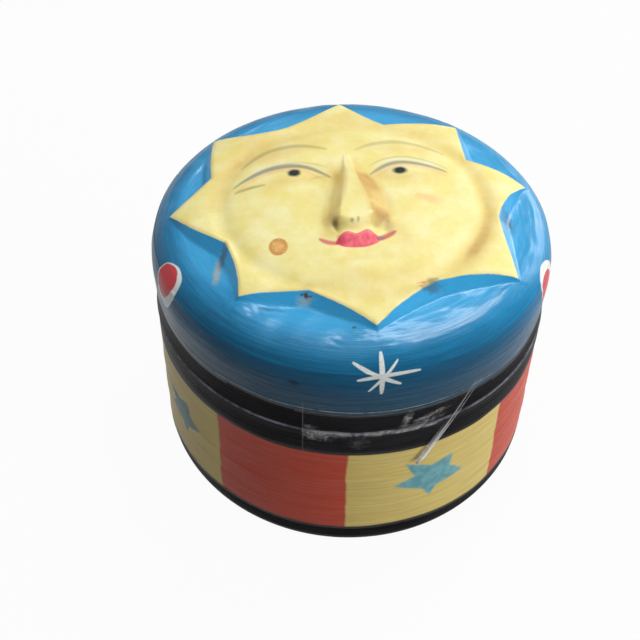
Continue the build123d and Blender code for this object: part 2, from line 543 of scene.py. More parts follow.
# Face: hills as height, centre, half widths, turn; grooves as depth, start, end, bow, width; the nose
# at levels from its tip up; ochre, rubbed in and partly painted shade, as centre, half widths, turn,
# amount, and round the border as amount, bearing, width in degrees
faceShape = Values(
    swell=1.7, half=(32.0, 30.2),
    hills=[
        (-0.55, (-8.2, 8.6), (6.0, 4.2), 10), (-0.55, (8.4, 8.6), (6.0, 4.2), -10),       # eye sockets
        (0.40, (-13.7, 10.6), (7.5, 3.4), 14), (0.40, (13.9, 10.6), (7.5, 3.4), -14),     # eyeballs
        (0.38, (-16.2, -3.0), (9.0, 8.5), 0), (0.38, (16.4, -3.0), (9.0, 8.5), 0),        # cheeks
        (0.30, (-12.2, 22.5), (11.0, 3.6), 8), (0.30, (12.4, 22.5), (11.0, 3.6), -8),     # brows
        (0.55, (-6.3, -8.6), (1.7, 2.2), 0), (0.6, (6.4, -8.4), (2.3, 2.4), 0),           # nose wings
        (-0.6, (-5.1, -11.6), (0.8, 1.0), 0), (-0.45, (4.2, -10.9), (1.1, 0.9), 0),       # nostrils
        (0.45, (-0.5, -15.0), (11.0, 4.6), 0), (-0.35, (-0.4, -19.6), (6.5, 1.5), 0),     # round the mouth
        (0.35, (-0.8, -24.0), (7.0, 3.2), 0),                                             # chin
    ],
    grooves=[
        (0.13, (-28.5, 7.4), (-4.2, 8.2), 5.8, 0.8), (0.13, (4.8, 8.6), (26.0, 9.0), 4.9, 0.8),
        (0.10, (-27.0, 15.3), (-4.0, 20.2), 4.5, 1.3), (0.10, (2.2, 19.0), (26.5, 17.0), 4.5, 1.3),
        (0.30, (-9.6, -13.4), (8.8, -12.6), -3.6, 1.1),
    ],
    nose=Values(
        y=[-12.5, -10.8, -6.0, -1.0, 3.0, 7.5, 12.0, 16.5, 18.0],
        footLeft=[-6.8, -7.4, -7.2, -6.4, -5.4, -3.8, -1.8, -0.9, -0.5],
        ridgeLeft=[-3.9, -4.1, -3.4, -2.6, -1.9, -1.2, -0.6, -0.3, -0.2],
        ridgeRight=[2.9, 3.0, 2.8, 2.4, 1.9, 1.2, 0.7, 0.5, 0.4],
        footRight=[7.2, 7.6, 8.4, 8.6, 7.6, 4.8, 2.5, 1.2, 0.8],
        height=[2.55, 2.6, 2.4, 2.1, 1.75, 1.2, 0.65, 0.2, 0.0],
    ),
    rubbed=[
        ((-15.0, 20.6), (11.0, 2.6), 16, 0.42), ((14.0, 19.9), (11.5, 2.4), -10, 0.34),
        ((-20.0, 18.0), (9.0, 4.0), 25, 0.2), ((-16.0, 8.0), (9.5, 2.6), 12, 0.4),
        ((13.0, 7.6), (9.5, 2.2), -4, 0.34), ((-3.2, 8.0), (1.6, 6.0), 6, 0.5),
        ((5.2, 6.5), (3.0, 6.5), -20, 0.35), ((6.4, -8.6), (2.6, 2.6), 10, 0.4),
        ((-6.8, -7.4), (1.8, 3.6), -4, 0.35), ((-6.5, -13.0), (2.2, 1.4), 0, 0.4),
        ((8.4, -11.8), (2.0, 2.8), 10, 0.4), ((11.0, -15.5), (2.6, 4.0), 10, 0.25),
        ((0, -20.6), (9.0, 1.5), 0, 0.22), ((-1.0, -26.2), (9.5, 2.4), 0, 0.3),
        ((10.0, -25.0), (7.0, 2.4), 20, 0.2), ((-14.0, 12.9), (8.0, 1.2), 4, 0.2),
        ((26.5, 0.0), (3.0, 8.0), 0, 0.12), ((27.0, -18.5), (6.0, 2.6), 48, 0.3),
        # the ochre high on the forehead, in these two rows, is painted shade
        ((0.0, 35.0), (13.0, 4.5), 0, 0.4), ((-24.0, 29.0), (8.0, 5.0), 30, 0.3),
        ((23.0, 29.0), (9.0, 4.5), -30, 0.25), ((-12.0, 27.0), (12.0, 3.0), 10, 0.2),
    ],
    border=[(0.75, -18, 34), (0.55, 148, 34), (0.3, 50, 34), (0.28, -95, 30)],
)
lipCorners = [
    (-5.9, -15.8), (-5.2, -14.4), (-4.2, -13.0), (-2.9, -12.2), (-1.7, -12.5), (-0.6, -13.1),
    (0.6, -12.6), (1.9, -11.8), (2.8, -12.1), (3.6, -13.4), (4.4, -14.4), (5.1, -14.9), (4.5, -16.1),
    (2.2, -17.3), (-0.2, -17.6), (-1.9, -17.5), (-3.8, -17.2), (-5.1, -16.5),
]


def blankCurve():
    # profile of the uncarved top: a cubic curve from the widest circle to the flat crown
    s = lidShape
    t = np.linspace(0, 1, 801)
    rise, run = s.crown - s.widestLevel, s.widest - s.crownEdge
    weights = [(1 - t) ** 3, 3 * t * (1 - t) ** 2, 3 * t * t * (1 - t), t ** 3]
    radii = (s.widest, s.widest, s.crownEdge + s.fullness * run, s.crownEdge)
    heights = (s.widestLevel, s.widestLevel + s.fullness * rise, s.crown, s.crown)
    return sum(w * r for w, r in zip(weights, radii)), sum(w * h for w, h in zip(weights, heights))


shoulderRadii, shoulderHeights = blankCurve()
corners = [np.array(polar(distance, radians(bearing))) for bearing, distance, bow in starCorners]


def starEdges():
    # the star's edges, and the columns of the lid's mesh as points along them: radius, angle, and the
    # number of the edge
    part = np.arange(lidShape.perEdge) / lidShape.perEdge
    lines, points = [], []
    for k, start in enumerate(corners):
        end = corners[(k + 1) % len(corners)]
        length, middle = dist(start, end), (start + end) / 2
        way = (end - start) / length
        out = np.array([way[1], -way[0]])
        bow = starCorners[k][2] * (out @ middle) / np.linalg.norm(middle)
        lines.append((start, way, out, length, bow))
        points.append(start + np.outer(part * length, way) + np.outer(bow * 4 * part * (1 - part), out))
    x, y = np.concatenate(points).T
    return lines, np.hypot(x, y), np.arctan2(y, x), np.repeat(np.arange(len(corners)), len(part))


starLines, edgeRadius, edgeAngle, edgeOwner = starEdges()


def beyondStar(x, y, owner, outside):
    # distance out from the star's outline: to the nearer of a valley's two edges outside it, and
    # less than nothing inside, to the nearer of a ray's two edges
    values = []
    for start, way, out, length, bow in starLines:
        u = np.clip(((x - start[0]) * way[0] + (y - start[1]) * way[1]) / length, 0, 1)
        values.append((x - start[0]) * out[0] + (y - start[1]) * out[1] - bow * 4 * u * (1 - u))
    # even corners are rays, so an even edge shares a valley with the next and a ray with the last
    mate = np.where(owner % 2 == 0, 1, -1)
    own, valley, ray = (np.take_along_axis(np.array(values), (owner + shift)[None] % len(values), 0)[0]
                        for shift in (0, mate, -mate))
    return np.where(outside, np.minimum(own, valley), np.maximum(own, ray))


def groundDepth(x, y, owner):
    # depth of the ground between two rays: a scoop before the valley and a long flat facet, both
    # measured from the chord between the two tips
    s = lidShape
    depth = np.zeros(x.shape)
    for k in range(0, len(corners), 2):
        tipA, valley, tipB = (corners[(k + i) % len(corners)] for i in range(3))
        way = (tipB - tipA) / np.linalg.norm(tipB - tipA)
        out = np.array([way[1], -way[0]])
        before = np.maximum(x * out[0] + y * out[1] - valley @ out - s.valleyStart, 0)
        along = x * way[0] + y * way[1] - valley @ way
        share = along / np.where(along < 0, (tipA - valley) @ way, (tipB - valley) @ way)
        scoop = s.valleyDepth * bell(before, 0, s.valleySpread) * (1 - 0.35 * np.clip(share, 0, 1) ** 2)
        facet = s.facetDepth * np.clip(1 - share ** 2, 0, 1)
        depth = np.where(owner // 2 == k // 2, scoop + facet, depth)
    return depth * fade(s.carveLimit + 0.2, s.groundFull, np.hypot(x, y))


def noseAt(y):
    # where the nose's feet and ridges stand at a level of the face, and its height there
    nose = faceShape.nose
    return Values((key, np.interp(y, nose.y, nose[key])) for key in nose)


def faceRelief(x, y):
    # height of the carved face above the lid's blank top: a low dome with a groove round its border,
    # hills, grooves, and a wedge for the nose that ends in a bowed tip
    f = faceShape
    q = np.hypot(x / f.half[0], y / f.half[1])
    z = f.swell * np.clip(1 - q ** 2, 0, 1) - 0.42 * bell(q, 1.03, 0.075)
    for height, centre, size, turn in f.hills:
        z = z + height * hill(x, y, centre, size, turn)
    for depth, start, end, bow, width in f.grooves:
        z = z - depth * strokeBump(x, y, start, end, bow, width)
    at = noseAt(y)
    left = fade(0, 1, (x - at.footLeft) / (at.ridgeLeft - at.footLeft))
    right = fade(0, 1, (at.footRight - x) / (at.footRight - at.ridgeRight))
    tip = -10.6 + 0.07 * (x + 0.9) ** 2
    return z + at.height * np.minimum(left, right) * fade(tip - 1.7, tip + 1.0, y) * (y < 18)


def lipRaise(x, y, lips):
    # the lips stand proud by up to half a millimetre, with a groove where they part
    parting = 0.22 * strokeBump(x, y, (-5.8, -15.6), (5.0, -14.9), -0.9, 0.5)
    return 0.5 * fade(-0.25, 1.6, lips) - parting * (lips > 0)


def shadeMap(x, y, beyond):
    # darker ochre on the face: rubbed into the border, brows, eye corners and star's edges, and painted
    # shade on the nose's right wall and the forehead
    f, at = faceShape, noseAt(y)
    span = fade(-12.5, -9.5, y) * fade(19, 11, y)
    inLeft = fade(0.1, -0.8, x - at.ridgeLeft) * fade(-1.6, -0.2, x - at.footLeft)
    inRight = fade(-0.4, 1.2, x - at.ridgeRight) * fade(2.4, -1.5, x - at.footRight)
    # the nose's right wall gets ochre as painted shade; the left wall's is ochre rubbed in
    shade = 0.25 * inLeft * span + 0.75 * inRight * span * fade(-12.0, -6.5, y)
    q, bearing = np.hypot(x / f.half[0], y / f.half[1]), np.degrees(np.arctan2(y, x))
    sides = sum(amount * bell(bearing, middle, width) for amount, middle, width in f.border)
    shade = shade + bell(q, 1.05, 0.085) * sides
    for middle, size, turn, amount in f.rubbed:
        shade = shade + amount * hill(x, y, middle, size, turn)
    return np.clip(shade + 0.15 * bell(beyond, -0.2, 0.7), 0, 1)


def lidProfile():
    # radius and height of the rings from the carving's limit down the outside, up the socket and
    # over the hollow to its middle
    s = lidShape
    keep = shoulderRadii > s.carveLimit + 0.02
    radii, heights = shoulderRadii[keep][::-1], shoulderHeights[keep][::-1]
    length = lengthAlong(radii, heights)
    places = np.linspace(0, length[-1], 17)[1:]
    middle = (s.hollow - s.round, s.hollowTop - s.round)
    return np.array([
        *zip(np.interp(places, length, radii), np.interp(places, length, heights)),
        *straight((s.widest, s.widestLevel), (s.ledge, s.ledgeTop), 13),
        (s.ledge - 0.04, s.ledgeTop - 0.1), (s.band + 0.14, s.bandTop + 0.05),
        (s.band + 0.17, s.stripLow + 0.15), (s.band + 0.02, s.stripLow - 0.1),
        *straight((s.band, s.stripLow - 0.2), (s.rim - 0.02, seam + s.rimRound), 9),
        *arc((s.rim - s.rimRound, seam + s.rimRound), (s.rimRound, -s.rimRound), 0.2, quarter, 6),
        *straight((s.rim - s.rimRound, seam), (s.socket + 0.25, seam), 3),
        (s.socket, seam + 0.25),
        *straight((s.socket, seam + 0.25), (s.socket, s.socketTop - 0.1), 3),
        *straight((s.socket - 0.1, s.socketTop), (s.hollow + 0.1, s.socketTop), 3),
        *straight((s.hollow, s.socketTop + 0.1), (s.hollow, middle[1]), 2),
        *arc(middle, (s.round, s.round), 0.17, quarter, 9),
        *straight((middle[0], s.hollowTop), (4.0, s.hollowTop), 6),
    ])


# The lid's side: drops as bearing, height up the side, lean, and how far the red one's middle lies
# beside and above the white one's; arms of a burst as their two ends in mm, bend, width
decorations = Values(
    drops=[(-160.5, 11.5, -0.10, -0.7, 1.0), (-24.4, 8.5, 0.12, -0.8, -0.5), (87.0, 11.0, 0.05, 0.0, 0.4)],
    whiteHalf=(5.2, 6.7), redHalf=(4.0, 4.9), taper=0.16,
    burstBearing=-88.8, burstClimb=12.2, hiddenClimb=8.4,
    burstArms=[((0.1, 6.1), (0.0, -5.6), 0.1, 1.25), ((4.0, 3.9), (-3.1, -4.4), 0.15, 0.75),
               ((9.3, 0.1), (-5.8, -1.1), -0.5, 1.05), ((4.7, -2.9), (-6.5, 3.8), 0.3, 1.15)],
)


def dropMarks(degrees, climb, radius):
    # signed distances to the white drops and to the red ones inside them, in mm
    d = decorations
    angle = np.linspace(0, 2 * pi, 41)[:-1]
    whites, reds = [], []
    for bearing, level, lean, shift, lift in d.drops:
        for found, half, beside, above in ((whites, d.whiteHalf, 0.0, 0.0), (reds, d.redHalf, shift, lift)):
            x, y = half[0] * np.cos(angle) * (1 + d.taper * np.sin(angle)), half[1] * np.sin(angle)
            outline = np.stack([beside + x - lean * y, above + y], -1)
            found.append(patchDistance(around(degrees, bearing, radius), climb - level, outline, 12))
    return np.max(whites, 0), np.max(reds, 0)


def makeLid(materials):
    s = lidShape
    columns, limit = len(edgeAngle), s.carveLimit
    # rings inside the star keep its outline's shape, rings outside it run out to the carving's limit
    inner = np.linspace(0, 1, s.starRings + 1)[1:, None]
    wall = (np.arange(1, s.wallRings + 1)[:, None] / s.wallRings) ** 1.27
    radius = np.concatenate([inner * edgeRadius, edgeRadius + wall * (limit - edgeRadius)])
    carved = len(radius)
    ring = np.arange(carved)[:, None]
    angle, owner, outside = (np.broadcast_to(value, radius.shape)
                             for value in (edgeAngle, edgeOwner, ring >= s.starRings))
    x, y = polar(radius, angle)
    beyond = np.where(ring == s.starRings - 1, 0, beyondStar(x, y, owner, outside))
    # the blank's top with the face and the lips, rounded down at the star's edge
    lips = outlineDistance(x, y, smoothOutline(lipCorners))
    top = np.interp(radius, shoulderRadii[::-1], shoulderHeights[::-1])
    top = top + faceRelief(x, y) * fade(0.0, -1.5, beyond) + lipRaise(x, y, lips)
    top = top - 0.30 * fade(-1.1, 0.3, beyond) ** 2
    # less the ground: a slanting wall down from the star's edge, as far as the ground's depth
    depth = groundDepth(x, y, owner)
    wallDrop = np.maximum(beyond, 0) * s.wallSlope
    top = top - np.maximum(softMin(wallDrop, depth, 0.5), 0) * outside
    # plus slow unevenness and the ridges and wrinkles of the paint
    rough = 0.10 * ripple(x, y, 0, 9, 5) + 0.05 * ripple(x, y, 0, 4, 6)
    paint = 0.04 * ridges(angle, radius, 11) + 0.045 * wrinkles(angle, radius, 13)
    top = top + rough * fade(0.5, 2.5, beyond) * fade(limit, limit - 3, radius)
    top = top + paint * fade(0.8, 2.0, beyond) + 0.05 * ripple(x, y, 0, 7, 8) * ~outside
    crease = bell(wallDrop, depth, 0.55) * fade(0.7, 2.0, depth) * outside
    # the rings below the carving are plain circles, pulled in a little here and there by hand
    profile = lidProfile()
    low, level = (np.repeat(profile[:, k:k + 1], columns, 1) for k in (0, 1))
    lowAngle = np.broadcast_to(edgeAngle, low.shape)
    outer = low > s.rim - 1.2
    pull = 0.09 * (ripple(*polar(low, lowAngle), level * 2, 14, 3) - 1.2) * fade(seam, seam + 3, level)
    pull = pull * fade(limit, limit + 0.8, low) * (outer & (level > seam + 0.3))
    fine = 0.03 * (ridges(lowAngle, level * 1.2, 12) - 1) + 0.02 * (wrinkles(lowAngle, level * 1.2, 14) - 1)
    pull = pull + fine * fade(limit, limit + 0.6, low) * (outer & (level > s.ledgeTop))
    radii, heights, angles = (np.concatenate(pair) for pair in (
        (radius, low + pull), (top, level), (angle, lowAngle)))
    rings, peak = len(radii), s.crown + faceRelief(0.0, 0.0)
    points = np.stack([*polar(radii, angles), heights], -1).reshape(-1, 3)
    points = np.concatenate([points, [[0, 0, peak], [0, 0, s.hollowTop]]])
    points[:, 2] = np.minimum(points[:, 2], lidHigh[2])
    # distance up the blank's outside from the ledge, for the painted marks on the side
    side, high = np.r_[s.ledge, shoulderRadii], np.r_[s.ledgeTop, shoulderHeights]
    upTo = lengthAlong(side, high)
    ring = np.arange(rings)[:, None]
    climb = np.where(heights > s.widestLevel, np.interp(heights, high, upTo), heights - s.ledgeTop)
    climb = np.where(ring < carved, np.interp(-radii, -side, upTo), climb)
    degrees = np.degrees(angles)
    drops, hearts = dropMarks(degrees, climb, radii)
    bandLevel = np.interp(degrees, lidPaint.bandBearings, lidPaint.bandLevels)
    # each mark with its value below the carving, where it has none there, and at the two poles
    marks = {}
    for name, values, fill, poles in [
        ("band", bandLevel - heights, None, (-20, -20)), ("star", -beyond, unpainted, (30, -20)),
        ("lips", lips, unpainted, (-13, -20)), ("crease", crease, 0, (0, 0)), ("ground", depth, 0, (0, 0)),
        ("shade", shadeMap(x, y, beyond), 0, (0, 0)), ("climb", climb, None, (60, -7)),
        ("drop", drops, None, (-20, -20)), ("heart", hearts, None, (-20, -20)),
    ]:
        values = values if fill is None else np.concatenate([values, np.full(low.shape, fill)])
        marks[name] = np.r_[values.ravel(), poles]
    # materials: 0 the paint, 1 black under the band's edge, 2 bare wood inside
    ring = ring[:-1]
    firstBare = carved + int(np.argmax(profile[:, 0] < s.socket + 0.3)) + 2
    blackened = (heights[:-1] < bandLevel[:-1] - 0.3) & (ring >= carved)
    which = np.where(ring >= firstBare, 2, np.where(blackened, 1, 0))
    which = np.r_[which.ravel(), np.zeros(columns, int), np.full(columns, 2)]
    makePiece("lidWood", points, closedGrid(rings, columns), materials, "lid", "lid",
              marks, which)


# the blues grow darker low on the side as painted shade; the lighter ground colour is painted light and the
# two edge colours are painted highlights
lidPaint = Values(
    blues=[(0, "13465F"), (6, "134E6E"), (12, "145C82"), (19, "1278A8"), (26, "2294CA")],
    skyDark="0A2A3E", skyPale="40A6D6", skyHigh="3CAADE", edgeLight="C4DCE8",
    stripLight="7FA8BF", sun="F0E18C", sunPale="F9F2B8", ochre="DCBB6A", rust="B5894F",
    rose="EBA795", lip="F06C7A", lipDark="CC3F56", lipPale="F6989C", line="9A9266",
    lidLine="74757A", mist="DCE6D2", mauve="8F6A5E", pupil="162224", white="E4E9E6",
    red="D0434B", band="09090B", dirt="3A3630", tan="E3B069", tanDark="CF9350",
    tanPale="E9C27C", bandBearings=(-180, -135, -122, -110, -80, -66, -50, -20, 30, 90, 180),
    bandLevels=(55.0, 55.0, 55.6, 55.0, 55.0, 54.6, 53.4, 53.4, 54.4, 55.0, 55.0),
)
# Painted lines of the face: start, end, bend, skew, width, softness, strength, colour
faceLines = [
    ((-27.2, 15.2), (-3.9, 20.0), 4.9, 0.2, 1.7, 0.6, 0.5, "line"),
    ((2.2, 19.1), (26.3, 17.1), 4.1, 0.5, 1.6, 0.6, 0.4, "line"),
    ((-27.6, 9.3), (-4.6, 12.3), 4.4, -0.4, 1.0, 0.35, 0.3, "line"),
    ((5.2, 12.0), (26.0, 10.2), 4.4, 0.7, 1.0, 0.35, 0.3, "line"),
    ((-28.9, 6.0), (-5.2, 6.6), 6.4, -0.9, 1.5, 0.9, 0.35, "rose"),
    ((6.0, 7.2), (25.2, 7.6), 4.3, 1.0, 1.5, 0.9, 0.35, "rose"),
    ((-28.9, 8.4), (-4.3, 9.7), 6.5, -0.9, 1.2, 0.5, 0.45, "mist"),
    ((5.5, 9.9), (25.4, 10.4), 4.6, 1.2, 1.2, 0.5, 0.45, "mist"),
    ((-29.6, 7.4), (-4.2, 8.3), 6.3, -0.9, 1.6, 0.55, 0.72, "lidLine"),
    ((5.1, 8.7), (25.6, 9.0), 4.3, 1.0, 1.6, 0.55, 0.7, "lidLine"),
    ((-29.2, 5.6), (-21.0, 7.3), 0.3, 0.0, 1.1, 0.35, 0.6, "line"),
    ((-4.0, 8.2), (-10.4, 8.0), -1.1, 0.0, 0.8, 0.5, 0.25, "rust"),
    ((-0.9, 12.4), (-4.2, -6.2), 0.5, 0.3, 1.7, 0.8, 0.35, "rust"),
    ((-9.8, -14.0), (-4.4, -15.9), -0.6, 0.0, 1.5, 0.4, 0.8, "lipDark"),
    ((3.8, -15.4), (9.1, -12.7), -0.35, 0.0, 1.45, 0.4, 0.8, "lipDark"),
]
# Dabs on the face: centre, half widths, turn, softness, unevenness, strength, colour
faceSpots = [
    ((-13.7, 10.9), (1.6, 1.4), 14, 0.4, 0.2, 1.0, "pupil"),
    ((13.2, 9.8), (1.75, 1.25), -3, 0.4, 0.2, 1.0, "pupil"),
    ((-5.9, -9.4), (1.9, 3.1), 10, 0.8, 0.5, 0.3, "mauve"),
    ((-5.5, -10.0), (0.62, 1.0), 10, 0.8, 0.5, 0.75, "dirt"),
    ((5.4, -9.0), (2.4, 1.2), 35, 0.8, 0.8, 0.3, "mauve"),
    ((7.4, -11.2), (1.0, 1.9), 0, 0.8, 0.8, 0.4, "mauve"),
    ((-1.4, -10.4), (0.4, 0.35), 0, 0.8, 0.5, 0.5, "dirt"),
    ((0.1, -10.2), (0.3, 0.5), 0, 0.8, 0.5, 0.4, "dirt"),
    # the pale dab on the nose's right ridge by its tip is a painted highlight
    ((3.0, -8.4), (0.9, 0.45), 35, 0.6, 0.4, 0.6, "sunPale"),
    ((5.0, -15.0), (0.9, 0.7), 0, 0.5, 0.3, 0.6, "lidLine"),
    ((-4.4, -14.8), (0.8, 1.3), 20, 0.6, 0.3, 0.5, "lipDark"),
    ((18.9, -1.5), (3.6, 1.5), -18, 0.7, 0.4, 0.28, "rose"),
    ((13.6, -28.4), (1.5, 0.3), 8, 0.6, 0.8, 0.6, "lip"),
    ((15.6, -28.2), (1.6, 0.9), 0, 0.6, 0.5, 0.5, "dirt"),
    ((-13.6, -28.0), (1.4, 1.2), 0, 0.7, 0.6, 0.2, "rust"),
]
# Scuffs and dirt in the valleys: centre, half widths, turn, strength, colour
valleyScuffs = [
    ((-32.9, -14.6), (0.9, 3.0), -20, 0.6, "dirt"), ((-34.4, -18.4), (0.8, 3.4), -8, 0.4, "ochre"),
    ((38.2, -6.6), (1.5, 3.2), 0, 0.5, "dirt"), ((15.0, -29.6), (2.6, 1.0), 12, 0.55, "dirt"),
    ((-14.4, -30.4), (1.8, 0.9), 0, 0.3, "ochre"), ((-14.2, -29.6), (0.5, 0.45), 0, 0.95, "dirt"),
    ((-15.1, -29.4), (0.4, 0.22), 0, 0.8, "dirt"), ((-13.2, -30.0), (0.6, 0.2), -20, 0.7, "dirt"),
    ((-4.1, -39.3), (0.45, 0.4), 0, 0.8, "dirt"), ((-23.5, -31.6), (3.6, 0.45), -12, 0.4, "dirt"),
]


def burstMask(point, climb):
    # three bursts, a third of a turn apart, each in its own flat coordinates
    d, third = decorations, radians(120)
    p = split(point)
    shifted = minus(calc("ARCTAN2", p[1], p[0]), radians(d.burstBearing - 60))
    part = calc("DIVIDE", shifted, third)
    u = times(minus(part, calc("FLOOR", part), 0.5), third, fromAxis(point))
    v = plus(minus(climb, d.burstClimb), step(p[1], -5.0, 5.0, d.burstClimb - d.hiddenClimb))
    flat = joined(u, v, 0.0)
    arms = [stroke(flat, start, end, bend, width, 0.14, Blunt=0.35)
            for start, end, bend, width in d.burstArms]
    thin = step(grain(flat, 1.6, 3.0, 0.7), 0.3, 0.5)
    return times(highest(*arms), timesPlus(thin, 0.35, 0.65))


def paintSun(point, p):
    # yellow, with ochre rubbed into it and painted shade, the lips, the painted lines and dabs, and the tan
    # spot
    c = lidPaint
    shade = calc("MULTIPLY", mark("shade"), timesPlus(grain(point, 0.35, 3.0), 0.5, 0.75), clamp=True)
    creases = grain(vector("MULTIPLY", point, (1.1, 0.6, 1.0)), 1.0, 3.0)
    upperLip = step(timesPlus(grain(point, 0.8), 3.0, p[1]), -13.2, -10.8, 0.55)
    lips = lay(c.lip, (c.lipDark, step(creases, 0.46, 0.7, 0.5)), (c.lipPale, step(creases, 0.5, 0.3, 0.4)),
               (c.lipPale, upperLip), (c.lipDark, step(p[0], -1.5, -5.0, 0.45)))
    sun = lay(c.sun, (c.sunPale, step(grain(point, 0.16, 4.0, 0.6), 0.3, 0.8)), (c.ochre, shade),
              (c.rust, step(shade, 0.55, 1.1, 0.6)),
              (c.ochre, use(speckle, Point=point, Size=1.1, Amount=0.12)["Mask"], 0.3),
              (lips, edge(point, "lips", 0.12, 0.9, 0.16)))
    for start, end, bend, skew, width, soft, strength, name in faceLines:
        line = stroke(point, start, end, bend, width, soft, Skew=skew)
        sun = lay(sun, (lidPaint[name], line, strength))
    for centre, size, turn, soft, uneven, strength, name in faceSpots:
        spot = dab(point, centre, size, turn, soft, uneven)["Mask"]
        sun = lay(sun, (lidPaint[name], spot, strength))
    spot = dab(point, (-19.5, -15.1), (2.25, 2.7), 0, 0.09, 0.08)
    tan = lay(c.tan, (c.tanDark, step(spot["Radius"], 0.25, 0.95)),
              (c.tanPale, step(grain(point, 1.2, 3.0), 0.5, 0.7, 0.6)))
    return lay(sun, (tan, spot["Mask"]))


def makeLidPaint():
    c, s = lidPaint, lidShape
    material, shader = newMaterial("paintedLid", Specular_IOR_Level=0.12, Coat_Roughness=0.17)
    point = millimetres()
    p = x, y, z = split(point)
    streaks, fine = brushed(point, 2.4, 1.1, 5.0)
    # blue ground: brushed round the side, darker and lighter streaks, and darker along the crease at the
    # wall's foot
    climb = mark("climb")
    # painted darker low on the side and lighter high up and on the right: painted shade and painted light
    height = plus(timesPlus(minus(streaks, 0.5), 9.0, climb), step(x, 18.0, 48.0, 8.0))
    high = step(climb, 11.0, 21.0, 0.3)
    base = lay(ramp(height, c.blues),
               (c.skyDark, step(fine, 0.48, 0.68), plus(step(climb, 22.0, 6.0, 0.45), 0.14)),
               (c.skyPale, step(streaks, 0.55, 0.8), high),
               (c.skyPale, step(grain(point, 0.06), 0.45, 0.75), high),
               # the ground between the rays is painted lighter as painted light against its shade
               (c.skyHigh, step(mark("ground"), 0.6, 2.0, 0.6)), (c.skyDark, mark("crease"), 0.12))
    star = edge(point, "star", 0.18, 0.3, 0.14)
    base = lay(base, (paintSun(point, p), star))
    # dirt, which stays above the side, and one smudge on the side in front
    for centre, size, turn, strength, name in valleyScuffs:
        scuff = dab(point, centre, size, turn, 0.6, 0.7)["Mask"]
        base = lay(base, (lidPaint[name], scuff, step(z, 66.0, 70.0), strength))
    smudge = dab(joined(x, z, 0.0), (-18.5, 64.8), (1.3, 0.8), 0, 0.7, 0.5)["Mask"]
    bursts = burstMask(point, climb)
    base = lay(base, (c.skyDark, smudge, step(y, -30.0, -36.0, 0.85)),
               (c.white, edge(point, "drop", 0.25, 0.3, 0.16)),
               (c.red, edge(point, "heart", 0.3, 0.3, 0.16)), (c.white, bursts))
    # dark blue strip under the ledge as painted shade, painted highlights along the edges above and below
    # it, broken up by noise, then the black band
    rubbed = step(grain(point, 0.16, 4.0, 0.7), 0.32, 0.62)
    base = lay(base, (c.skyDark, step(z, s.ledgeTop - 0.1, s.ledgeTop - 0.35), 0.75),
               (c.edgeLight, step(apart(z, s.ledgeTop - 0.05), 0.26, 0.078, 0.9), rubbed),
               (c.stripLight, step(apart(z, s.stripLow + 0.1), 0.22, 0.066, 0.7), rubbed),
               (c.band, edge(point, "band", 0.15, 0.08, 0.12)))
    # the blue is glossier high up, and its streaks stand out more than those of the sun
    put(shader.inputs["Coat Weight"], times(step(climb, 12.5, 20.0, 0.45), minus(1.0, star),
                                            plus(step(fine, 0.38, 0.6, 0.7), 0.3)))
    rough = plus(timesPlus(fine, 0.2, 0.22), times(star, 0.28))
    relief = times(plus(streaks, times(fine, 0.5)), timesPlus(star, -0.85, 1.0))
    relief = plus(relief, times(bursts, 0.15), times(grain(point, 0.9, 3.0), 0.25))
    return finished(material, shader, base, rough, relief, 0.6, 0.22)


makeLid([makeLidPaint(), satinBlack, woodInside])

# Base
baseShape = Values(
    foot=47.4, belly=51.4, footRise=8.9, rim=51.0, rimRound=0.3, collar=47.2,
    collarTop=54.8, chamfer=0.6, cavity=44.0, floor=7.0, floorRound=5.0, columns=448,
)
# Blocks as the bearings where they meet, stars as bearing, level, turn, size
# on the left side the yellow and the teal star get darker colours as painted shade
basePaint = Values(
    yellow="E0C670", yellowPale="ECD98A", yellowDark="B8863E", grime="7A6232",
    red="C2452F", redPale="D25842", redDark="8E2F22", teal="6DB8C6", tealDark="549FAE",
    tealDeep="2C5E5E", black="101013", blackPale="34343C", bandBottom=40.4, footTop=9.5,
    blocks=(-136.3, -96.5, -48.0, -2.0, 44.0, 90.0, 136.0, 180.0), wallRadius=51.2,
    stars=[(-72.1, 26.4, 0, 1.0), (21.0, 27.0, 14, 0.95), (113.0, 26.0, -9, 1.05),
           (205.0, 25.6, 16, 0.84)],
    starCorners=[(-7.3, 7.75), (-0.2, 4.9), (5.9, 6.4), (5.6, 1.4), (10.0, -3.0), (2.2, -5.15),
                 (0.1, -8.7), (-1.7, -4.7), (-10.1, -0.5), (-4.45, 2.0)],
)


def baseProfile():
    # radius and height of the rings from the middle of the cavity's floor, up and over the collar
    # and the seat, and down the outside to the middle of the underside
    s = baseShape
    middle = (s.cavity - s.floorRound, s.floor + s.floorRound)
    return np.array([
        *straight((4, s.floor), (middle[0], s.floor), 7, 0),
        *arc(middle, (s.floorRound, s.floorRound), -quarter + 0.15, 0, 8),
        *straight((s.cavity, middle[1]), (s.cavity, s.collarTop - 0.15), 10),
        (s.cavity + 0.15, s.collarTop),
        *straight((s.cavity + 0.15, s.collarTop), (s.collar - s.chamfer, s.collarTop), 2),
        (s.collar - 0.08, s.collarTop - s.chamfer + 0.05), (s.collar, s.collarTop - s.chamfer - 0.05),
        *straight((s.collar, s.collarTop - s.chamfer), (s.collar, seam + 0.15), 5),
        (s.collar + 0.15, seam),
        *straight((s.collar + 0.15, seam), (s.rim - s.rimRound, seam), 3),
        *arc((s.rim - s.rimRound, seam - s.rimRound), (s.rimRound, s.rimRound), quarter - 0.2, 0, 6),
        *straight((s.rim, seam - s.rimRound), (s.belly, s.footRise), 62),
        *arc((s.foot, s.footRise), (s.belly - s.foot, s.footRise), -0.06, -quarter + 0.03, 22),
        *straight((s.foot - 0.1, 0.0), (4.0, 0.0), 9, 0),
    ])


